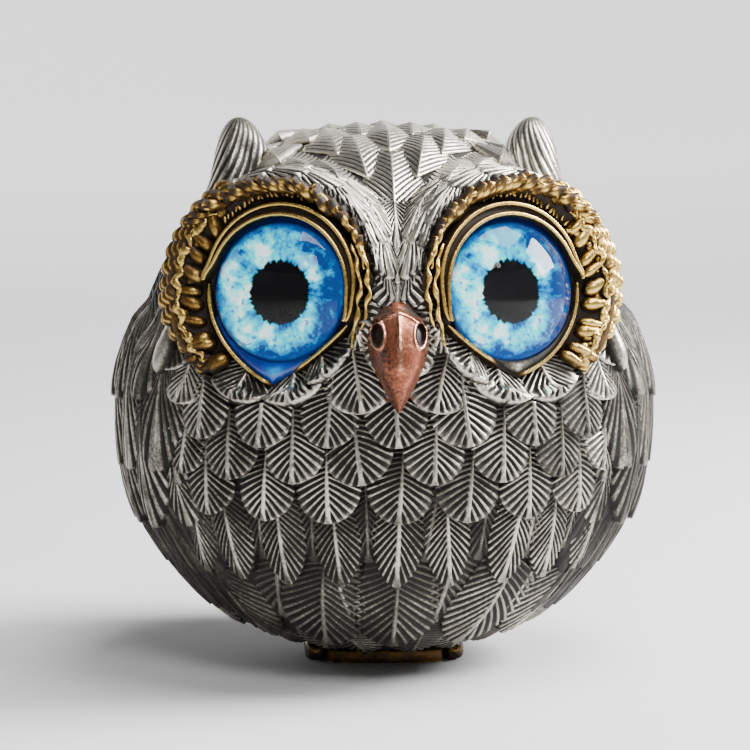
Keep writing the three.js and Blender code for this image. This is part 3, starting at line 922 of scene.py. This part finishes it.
def make_upper_lid(eye):
    """Two thin rims with a dark groove between them, joined at both corners of the eye."""
    bottom, groove = -2.6, -0.9
    angle = angles(5, 202, 220)
    t = (angle - angle[0]) / (angle[-1] - angle[0])
    apart = 1.45 * np.sin(math.pi * t) ** 0.5  # distance between the rims
    inner = 10.35 + 0.95 * bell(angle - 0.09, 0.17) + 0.5 * smooth((t - 0.9) / 0.1)
    rim_across, rim_out, worn = rim_section(0.29)
    across = np.concatenate([rim_across[:1], rim_across, [0], rim_across, rim_across[-1:]])
    apart_share = np.repeat([0, 0.5, 1], [len(worn) + 1, 1, len(worn) + 1])
    out = np.concatenate([[bottom], rim_out, [groove], rim_out - 0.25, [bottom]])
    ridge = np.concatenate([[0], worn, [0], worn, [0]])
    height = 1.75 + 0.35 * np.sin(math.pi * t)
    across = inner[:, None] + across + apart_share * apart[:, None]
    out = np.where(out > bottom, out + height[:, None], out)
    shapes = Shapes()
    sweep_round(shapes, eye, angle, across, out, np.clip(ridge, 0, 1), 0.4)
    return shapes


def lower_lid_path(eye):
    """From the outer corner round to the point under the eye, then straight up to the inner corner."""
    angle = angles(3, -88, 70)
    drop = CORNER_DROP[eye.side] - LOWER_LID
    radius = LOWER_LID + drop * (-angle / (math.pi / 2)).clip(0) ** 3.4
    outer = np.stack([eye.side * radius * np.cos(angle), radius * np.sin(angle)], -1)
    inner_corner = np.array([-eye.side * 10.3, -4.6])
    share = np.linspace(0, 1, 60)[1:, None]
    bow = np.sin(math.pi * share) * 0.35 * np.array([-eye.side, -1.0])
    inner = outer[-1] + share * (inner_corner - outer[-1]) + bow
    flat = np.concatenate([outer, inner])
    return eye.place(flat[:, 0], flat[:, 1], 0)


def make_lower_lid(eye):
    path = lower_lid_path(eye)
    side = path_sides(path, eye.out)
    if (side[0] @ eye.radial(0)) < 0:
        side = -side
    rim = 0.3
    rim_across, rim_out, worn = rim_section(rim)
    across = np.concatenate([[-rim], rim_across, [rim + 0.7]])
    out = np.concatenate([[LID_BACK], rim_out + 0.75, [LID_BACK]])
    ridge = np.concatenate([[0], worn, [0]])
    t = np.linspace(0, 1, len(path))[:, None]
    thin = 0.45 + 0.55 * fade_ends(t, 0.06)
    bare = 0.9 * smooth((t - 0.5) / 0.05) * smooth((0.72 - t) / 0.08)  # no rim beside the drop
    out = np.where(out > LID_BACK, out - bare, out)
    shapes = Shapes()
    sweep(shapes, path, side, eye.out, across * thin, out, np.clip(ridge - bare, 0, 1), 0.2)
    return shapes


def make_corner(eye):
    """The domed filling between the glass and the lower lid, widest at the lid's point."""
    across, up, _ = eye.local(lower_lid_path(eye))
    path_angle = np.arctan2(up, eye.side * across) % (2 * math.pi)
    order = np.argsort(path_angle)
    angle = angles(360 - 22, 360 - 118, 90)
    lid = np.interp(angle, path_angle[order], np.hypot(across, up)[order])
    inner = np.minimum(GLASS_RADIUS - 0.1, lid - 0.2)
    share = np.linspace(0, 1, 15)
    radius = flanked(inner[:, None] + (lid - 0.1 - inner)[:, None] * share)
    dome = 0.15 + 0.28 * (lid - inner)[:, None] * np.sin(math.pi * (0.15 + 0.75 * share))
    points = eye.ring(angle[:, None] + 0 * radius, radius, flanked(dome, -2.0))
    # Lighter along the crest of the dome under the lid's point: wear on the silver fill, a painted highlight
    # on the enamel drop.
    middle = bell(angle - math.radians(360 - 89), 0.16)[:, None]
    crest_wear_and_highlight = middle * np.sin(math.pi * np.concatenate([[0], share, [1]]))
    return one_shape(points, slab_faces(*radius.shape), 0.35 + 0.6 * crest_wear_and_highlight, -1)


# Glass eyes

def turned(eye, radii, heights):
    """Points and faces of a profile turned round the eye's axis."""
    turn = full_turn(128)
    radii, heights = (np.asarray(v, float)[:, None] + 0 * turn for v in (radii, heights))
    return eye.place(radii * np.cos(turn), radii * np.sin(turn), heights), tube_faces(*radii.shape)


def make_glass(eye):
    """A domed cabochon, cast with a small rounded edge."""
    rise = GLASS_HEIGHT - GLASS_EDGE
    sphere = (GLASS_RADIUS ** 2 + rise ** 2) / (2 * rise)
    dome = np.linspace(0.02, GLASS_RADIUS - 0.15, 60)
    heights = GLASS_EDGE + np.sqrt(sphere ** 2 - dome ** 2) - (sphere - rise)
    edge_radii = np.append(GLASS_RADIUS - np.array([0.04, 0, 0, 0.05, 0.2]), [8, 4, 0.02])
    edge_heights = [heights[-1] - 0.13, heights[-1] - 0.3, 0.02, -0.08, -0.1, -0.1, -0.1, -0.1]
    radii, heights = np.append(dome, edge_radii), np.append(heights, edge_heights)
    return one_shape(*turned(eye, radii, heights), 1.0)


def make_iris(eye):
    """The printed disc against the flat back of the glass, and each point's place on the print."""
    radii = np.append(np.linspace(0.02, 9.75, 50), [9.78, 9.6, 0.02])
    heights = np.append(np.full(50, -0.04), [-0.15, -0.6, -0.6])
    points, faces = turned(eye, radii, heights)
    across, up, _ = eye.local(points.reshape(-1, 3))
    print_place = np.stack([across, up, 0 * up], -1) / GLASS_RADIUS
    return one_shape(points, faces, 1.0), print_place


# Beak

# Down the beak from its top: share of the length, half width and how far it stands out.
BEAK_STATIONS = np.array([
    (0.0, 0.3, -0.3), (0.05, 1.7, 0.9), (0.12, 2.7, 2.1), (0.2, 3.6, 3.1), (0.3, 4.25, 4.1),
    (0.45, 4.35, 5.0), (0.6, 3.9, 5.4), (0.75, 2.75, 5.4), (0.88, 1.6, 4.9), (0.96, 0.85, 4.2),
    (1.0, 0.25, 3.5),
])


def make_beak():
    """A hooked beak: a cere with a raised lip, two nostrils and a ridge down the middle."""
    low, high = box_mm("beak")
    top = high[2] + 0.2
    rows, columns = 170, 140
    v = np.linspace(0, 1, rows)[:, None]
    t = np.linspace(-1, 1, columns)[None, :]
    share, *profiles = BEAK_STATIONS.T
    blur = np.hanning(21) / np.hanning(21).sum()
    padded = (np.pad(np.interp(v[:, 0], share, profile), len(blur) // 2, "edge") for profile in profiles)
    half, reach = (np.convolve(profile, blur, "valid")[:, None] for profile in padded)
    x = half * t
    z = top + (low[2] - top) * v + 0 * t
    front = SKIN.spot([0, -36.0, 50.0])[1]
    base = front + 0.06 * (z - 50) ** 2 * (z > 50) * 0.35
    crease = 0.34 * np.exp(-np.abs(x) / 0.55) * smooth(v / 0.2) * smooth((0.75 - v) / 0.3)
    above_lip = z - (top - 2.2 - 0.35 * np.abs(x) ** 1.35)  # the lip is the lower edge of the cere
    from_hole = np.hypot((np.abs(x) - 3.0) / 0.72, (z - (top - 5.2)) / 1.45)
    out = reach * np.maximum(0, 1 - np.abs(t) ** 2.1) ** 0.62 + crease
    out = out - 0.45 * smooth(above_lip / 0.5) + 0.3 * bell(above_lip, 0.28)
    out = out - 1.1 * smooth((1.08 - from_hole) / 0.3) + 0.28 * bell(from_hole - 1.3, 0.22)
    ridge = 0.5 + crease / 0.5 + 0.5 * bell(above_lip, 0.3) - 1.6 * smooth((1.2 - from_hole) / 0.35)
    ridge = ridge + 0.4 * bell(from_hole - 1.3, 0.25) - 0.25 * smooth(above_lip / 0.5)
    points = np.stack([flanked(x), flanked(base - out, front + 1.6), flanked(z)], -1)
    return one_shape(points, slab_faces(*points.shape[:2]), flanked(np.clip(ridge, 0, 1), 0))


# Foot and core

# Up the side of the foot plate: height, how far in from its outline, how worn.
PLATE_SECTION = np.array([
    (0.0, 0.6, 0.7), (0.1, 0.1, 1.0), (0.5, 0.0, 0.5), (1.6, 0.0, 0.5), (2.0, 0.12, 1.0),
    (FOOT_THICKNESS, 0.6, 0.5), (FOOT_THICKNESS + 1.5, 3.0, 0.0),
])


def make_plate():
    """The brass plate that the owl stands on, with rounded corners and worn edges."""
    low, high = box_mm("foot_plate")
    half_x, half_y, _ = (high - low) / 2
    height, inset, worn = PLATE_SECTION.T[:, :, None]
    shape_x, shape_y = squared_circle(full_turn(160), 1 / 3)
    x = (half_x - inset) * shape_x
    y = (high[1] + low[1]) / 2 + (half_y - inset) * shape_y
    return one_shape(np.stack([x, y, height + 0 * x], -1), tube_faces(*x.shape), worn + 0 * x)


def make_toes(side):
    """One rounded toe at the end of the plate, ringed with shallow grooves."""
    low, high = box_mm("toes_" + eyes[side].word)
    v = np.linspace(0, 1, 60)[:, None]
    turn = full_turn(40)[None, :]
    rings = 0.04 * np.cos(2 * math.pi * 4 * v)
    swell = np.sqrt(np.maximum(0, 1 - (2 * v - 1) ** 6)) * (1 + rings) + 0.02
    flat_x, flat_z = squared_circle(turn, 0.55)
    x = side * (TOE_INNER + TOE_OUTER) / 2 + (TOE_OUTER - TOE_INNER) / 2 * swell * flat_x
    y = low[1] - 0.4 + (high[1] - low[1]) * v + 0 * turn
    z = np.maximum(1.45 + 1.4 * swell * flat_z, 0.05)
    ridge = np.clip(0.3 + 0.5 * np.sin(turn) + 3 * rings, 0, 1)
    return one_shape(np.stack([x, y, z], -1), tube_faces(*x.shape), ridge)


def make_core():
    """The dark casting under the feathers."""
    polar = np.linspace(0.001, math.pi - 0.001, 150)[:, None]
    turn = full_turn(240)[None, :]
    rays = np.stack(np.broadcast_arrays(
        np.sin(polar) * np.sin(turn), -np.sin(polar) * np.cos(turn), np.cos(polar)), -1)
    points = CENTRE + rays * (body_reach(rays) - 0.25)[..., None]
    points[..., 2] = np.maximum(points[..., 2], body_low[2] + 0.05)
    return one_shape(points, tube_faces(*points.shape[:2]), 0.08)


# Materials

class Graph:
    """A material under construction, with short names for the nodes that it uses."""

    def __init__(self, name):
        self.material = bpy.data.materials.new(name)
        self.material.use_nodes = True
        self.tree = self.material.node_tree
        self.tree.nodes.clear()

    def new(self, kind, inputs, **settings):
        """A node with its settings, and with its inputs linked to a socket or set to a constant."""
        made = self.tree.nodes.new("ShaderNode" + kind)
        for name, value in settings.items():
            setattr(made, name, value)
        for key, value in inputs.items():
            if isinstance(value, bpy.types.NodeSocket):
                self.tree.links.new(value, made.inputs[key])
            else:
                made.inputs[key].default_value = value
        return made

    def surface(self, inputs):
        """The finished material, with these inputs on its shader."""
        shader = self.new("BsdfPrincipled", inputs)
        self.new("OutputMaterial", {"Surface": shader.outputs["BSDF"]})
        return self.material

    def attribute(self, name, output="Fac"):
        return self.new("Attribute", {}, attribute_name=name).outputs[output]

    def place(self):
        return self.new("TexCoord", {}).outputs["Object"]

    def axis(self, vector, number):
        return self.new("SeparateXYZ", {0: vector}).outputs[number]

    def noise(self, scale, detail=4.0, roughness=0.55, vector=None):
        inputs = {"Scale": scale, "Detail": detail, "Roughness": roughness, "Vector": vector or self.place()}
        return self.new("TexNoise", inputs).outputs["Fac"]

    def math(self, operation, *values, clamp=False):
        return self.new("Math", dict(enumerate(values)), operation=operation, use_clamp=clamp).outputs[0]

    def vector(self, operation, *values):
        made = self.new("VectorMath", dict(enumerate(values)), operation=operation)
        return made.outputs["Value" if operation == "LENGTH" else "Vector"]

    def mix(self, share, first, second):
        return self.new("Mix", {0: share, 6: first, 7: second}, data_type="RGBA").outputs[2]

    def bump(self, height, strength, distance):
        inputs = {"Height": height, "Strength": strength, "Distance": distance}
        return self.new("Bump", inputs).outputs["Normal"]

    def ramp(self, value, stops):
        made = self.new("ValToRGB", {"Fac": value})
        elements = made.color_ramp.elements
        while len(elements) < len(stops):
            elements.new(0.5)
        for element, (place, colour) in zip(elements, stops):
            element.position = place
            element.color = (*colour, 1.0) if isinstance(colour, tuple) else (colour, colour, colour, 1.0)
        return made.outputs["Color"]


def antique_metal(name, dark, middle, bright, stain, rough):
    """Patinated cast metal: dark in the grooves, buffed on the ridges, stained in patches, finely worn. The
    ridge and tone attributes also carry painted shade and painted light on some pieces.
    """
    g = Graph(name)
    blotch = g.math("SUBTRACT", g.noise(240, 5), 0.5)
    grain = g.math("SUBTRACT", g.noise(2400, 3), 0.5)
    wear_and_painted_shading = g.math("MULTIPLY_ADD", blotch, 0.7, g.attribute("ridge"))
    wear_and_painted_shading = g.math("MULTIPLY_ADD", grain, 0.6, wear_and_painted_shading)
    wear_and_painted_shading = g.math("MULTIPLY_ADD", g.attribute("tone"), 0.1, wear_and_painted_shading, clamp=True)
    colour = g.ramp(wear_and_painted_shading, [(0.35, dark), (0.65, middle), (1.0, bright)])
    patches = g.ramp(g.noise(90, 4), [(0.52, 0.0), (0.72, 0.65)])
    shine = g.ramp(wear_and_painted_shading, [(0.1, rough[0]), (0.9, rough[1])])
    return g.surface({
        "Base Color": g.mix(patches, colour, g.mix(wear_and_painted_shading, (*dark, 1), (*stain, 1))),
        "Roughness": g.math("MULTIPLY_ADD", grain, 0.3, shine),
        "Metallic": g.ramp(wear_and_painted_shading, [(0.3, 0.0), (0.6, 1.0)]),
        "Specular IOR Level": 0.3,
        "Normal": g.bump(g.math("MULTIPLY_ADD", blotch, 1.5, grain), 0.4, 0.00012),
    })


MAGNIFIED = 1.08  # how much larger the print looks through the dome
PUPIL_DOWN = (0.0, -0.035, 0.0)  # the pupil's place on the disc, in glass radii


def iris_print():
    """Dark rim, mottled cyan and white fibres, scattered blue specks and a ragged black pupil; the print
    glows as painted light, and its whiter side towards the viewer's left is partly a painted reflection.
    """
    g = Graph("iris_print")
    place = g.vector("SUBTRACT", g.attribute("print_place", "Vector"), PUPIL_DOWN)
    place = g.vector("MULTIPLY", place, (MAGNIFIED, MAGNIFIED, 0.0))
    away = g.vector("LENGTH", place)
    inwards = g.vector("MULTIPLY", place, (0.3, 0.3, 0.0))
    fibres = g.noise(7.5, 3, 0.6, g.vector("ADD", g.vector("NORMALIZE", place), inwards))
    clouds = g.noise(3.3, 3, 0.6, g.vector("ADD", place, (3.1, 1.7, 0.0)))
    specks = g.noise(9.0, 2, 0.5, place)
    ragged = g.math("MULTIPLY_ADD", g.math("SUBTRACT", fibres, 0.5), 0.14, away)
    light = g.math("MULTIPLY_ADD", clouds, 1.7, g.math("MULTIPLY", fibres, 0.55))
    # Lighter towards the viewer's left on both eyes: partly print, partly a painted reflection.
    light = g.math("MULTIPLY_ADD", g.axis(place, 0), -0.26, light)
    light = g.math("MULTIPLY_ADD", g.math("ABSOLUTE", g.math("SUBTRACT", away, 0.58)), -0.9, light)
    light = g.math("SUBTRACT", light, 0.55)
    colour = g.ramp(light, [
        (0.22, (0.0, 0.04, 0.20)), (0.32, (0.0, 0.16, 0.44)), (0.44, (0.0, 0.40, 0.64)),
        (0.55, (0.0, 0.62, 0.78)), (0.65, (0.20, 0.84, 0.88)), (0.77, (0.76, 0.97, 0.93)),
    ])
    spotted = g.ramp(specks, [(0.57, 0.0), (0.64, 0.85)])
    colour = g.mix(spotted, colour, (0.0, 0.20, 0.48, 1))
    edge = g.mix(g.ramp(away, [(0.94, 0.0), (1.04, 1.0)]), (0.0, 0.05, 0.25, 1), (0.0, 0.003, 0.03, 1))
    colour = g.mix(g.ramp(ragged, [(0.87, 0.0), (0.97, 0.9), (1.0, 1.0)]), colour, edge)
    colour = g.mix(g.ramp(ragged, [(0.42, 1.0), (0.45, 0.0)]), colour, (0.001, 0.001, 0.0015, 1))
    return g.surface({
        "Base Color": g.mix(0.6, colour, (0.0, 0.0, 0.0, 1)),
        # Emission: painted light, standing in for light that reaches the print through the glass.
        "Emission Color": colour,
        "Emission Strength": 1.3,
        "Specular IOR Level": 0.05,
        "Roughness": 0.6,
        "Normal": g.bump(fibres, 0.2, 0.0001),
    })


def clear_glass():
    """Glass with a trace of handling marks in its gloss."""
    g = Graph("clear_glass")
    return g.surface({
        "Base Color": (1, 1, 1, 1),
        "Transmission Weight": 1.0,
        "IOR": 1.27,
        "Specular IOR Level": 0.22,
        "Roughness": g.ramp(g.noise(120, 4), [(0.45, 0.0), (0.8, 0.03)]),
        "Normal": g.bump(g.noise(60, 2), 0.02, 0.00005),
    })


def blue_enamel():
    """Glossy enamel, deep blue round the drop; its pale middle is a painted highlight, and its emission makes
    it glow as painted light.
    """
    g = Graph("blue_enamel")
    mottle = g.noise(420, 4)
    light = g.math("MULTIPLY_ADD", mottle, 0.5, g.math("SUBTRACT", g.attribute("ridge"), 0.25))
    colour = g.ramp(light, [(0.30, (0.0, 0.010, 0.13)), (0.68, (0.0, 0.055, 0.34)), (1.0, (0.0, 0.27, 0.62))])
    return g.surface({
        "Base Color": colour,
        # Emission: painted light, the enamel glows with its own colour.
        "Emission Color": colour,
        "Emission Strength": 0.2,
        "Roughness": g.ramp(mottle, [(0.3, 0.08), (0.8, 0.16)]),
        "Coat Weight": 0.4,
        "Coat Roughness": 0.03,
        "Normal": g.bump(mottle, 0.1, 0.0001),
    })


SILVER = antique_metal("antique_silver", (0.007, 0.006, 0.005), (0.108, 0.098, 0.081), (0.57, 0.53, 0.455),
                       (0.20, 0.18, 0.145), rough=(0.7, 0.34))
BRASS = antique_metal("antique_brass", (0.016, 0.008, 0.003), (0.17, 0.09, 0.022), (0.70, 0.47, 0.13),
                      (0.20, 0.12, 0.06), rough=(0.65, 0.28))
COPPER = antique_metal("worn_copper", (0.012, 0.005, 0.004), (0.40, 0.13, 0.07), (0.87, 0.43, 0.28),
                       (0.50, 0.30, 0.26), rough=(0.5, 0.2))
GLASS = clear_glass()
IRIS = iris_print()
ENAMEL = blue_enamel()


# The pieces

def silver(shapes, name, *stands_for):
    shapes.build(name, SILVER, "silver_cast", stands_for)


def brass(shapes, name, *stands_for):
    shapes.build(name, BRASS, "antique_brass", stands_for)


# Feathered zones of the body: name, lowest and highest tips, whether it is the front.
ZONES = [
    ("belly_feathers", 0, 20, True), ("breast_feathers", 20, 38, True), ("cheek_feathers", 38, 56, True),
    ("temple_feathers", 56, 90, True), ("rump_feathers", 0, 30, False), ("back_feathers", 30, 58, False),
    ("nape_feathers", 58, 90, False),
]

silver(make_core(), "body_core", "body_casting")
for name, low, high, front in ZONES:
    silver(lay_body_rows(low, high, front), name)
silver(lay_crown(), "crown_feathers")
silver(lay_lances(), "forehead_feathers")
silver(lay_brows(), "brow_feathers")
silver(lay_tail(), "tail_feathers", "tail")
for side, eye in eyes.items():
    word = eye.word
    silver(lay_wing(side), "wing_feathers_" + word, "wing_" + word)
    silver(make_ear(side), "ear_" + word, "ear_tuft_" + word)
    brass(make_ruff(eye), "ruff_" + word, "eye_ruff_" + word)
    brass(make_upper_lid(eye), "lid_above_" + word, "upper_lid_" + word)
    brass(make_lower_lid(eye), "lid_below_" + word, "lower_lid_" + word)
    brass(make_toes(side), "foot_toes_" + word, "toes_" + word)
    make_glass(eye).build("glass_dome_" + word, GLASS, "clear_glass", ["eye_glass_" + word])
    disc, print_place = make_iris(eye)
    disc.build("iris_" + word, IRIS, "iris_print", ["iris_disc_" + word], print_place=print_place)
    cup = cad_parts["eye_cup_" + word]
    cup.data.materials.clear()
    cup.data.materials.append(BRASS)
make_corner(eyes[-1]).build("corner_drop", ENAMEL, "blue_enamel", ["corner_enamel_right"])
silver(make_corner(eyes[1]), "corner_fill")
make_beak().build("beak_casting", COPPER, "copper", ["beak"])
brass(make_plate(), "foot_base", "foot_plate")


# Stage, light and camera

WALL_GLOW = 1.3  # lifts the wall behind the owl to the brightness of the floor
FLOOR_RINGS = [(0.5, 0.0), (0.9, 0.0), (1.3, 0.06), (1.6, 0.24), (1.8, 0.6), (1.85, 1.1)]


def make_stage():
    """A pale floor that curves up into a pale wall all round, from rings of a radius and a height."""
    around = 64
    ring = [(math.cos(angle), math.sin(angle)) for angle in full_turn(around)]
    points = [(0, 0, 0)]
    points += [(radius * x, radius * y, height) for radius, height in FLOOR_RINGS for x, y in ring]
    faces = [(0, 1 + k, 1 + (k + 1) % around) for k in range(around)]
    faces += [tuple(1 + face[::-1]) for face in grid_faces(len(FLOOR_RINGS), around, wrap=True)]
    mesh = bpy.data.meshes.new("floor")
    mesh.from_pydata(points, [], faces)
    mesh.polygons.foreach_set("use_smooth", [True] * len(mesh.polygons))
    g = Graph("pale_floor")
    far = g.ramp(g.math("MULTIPLY", g.axis(g.place(), 1), 0.5), [(0.05, 0.0), (0.55, 1.0)])
    mesh.materials.append(g.surface({
        "Base Color": (0.57, 0.57, 0.57, 1),
        "Roughness": 0.8,
        "Emission Color": (1, 1, 1, 1),
        "Emission Strength": g.math("MULTIPLY", far, WALL_GLOW),
    }))
    floor = add_object("floor", mesh)


def add_aimed(name, data, place, target):
    """A lamp or camera at a place, aimed at a target."""
    made = add_object(name, data)
    made.location = place
    made.rotation_euler = (Vector(target) - Vector(place)).to_track_quat("-Z", "Y").to_euler()
    return made


def add_area(name, place, size, power):
    light = bpy.data.lights.new(name, "AREA")
    light.shape = "RECTANGLE"
    light.size, light.size_y = size
    light.energy = power
    add_aimed(name, light, place, (0, 0, 0.04))


def make_lights():
    add_area("key", (0.45, 0.02, 0.33), (0.28, 0.26), 13.5)
    add_area("overhead", (0.16, -0.04, 0.60), (0.34, 0.34), 6.0)
    add_area("front", (0.06, -0.46, 0.50), (0.26, 0.20), 2.5)
    world = bpy.data.worlds.new("soft_grey")
    world.use_nodes = True
    background = world.node_tree.nodes["Background"]
    background.inputs["Color"].default_value = (0.87, 0.87, 0.87, 1)
    background.inputs["Strength"].default_value = 0.16
    bpy.context.scene.world = world


def make_camera():
    azimuth, elevation = math.radians(-3), math.radians(6)
    distance = 0.45
    target = Vector((-0.0013, 0.0, 0.0422))
    data = bpy.data.cameras.new("camera")
    data.sensor_width = 36
    data.lens = 146
    level = math.cos(elevation)
    away = Vector((math.sin(azimuth) * level, -math.cos(azimuth) * level, math.sin(elevation)))
    bpy.context.scene.camera = add_aimed("camera", data, target + distance * away, target)


make_stage()
make_lights()
make_camera()
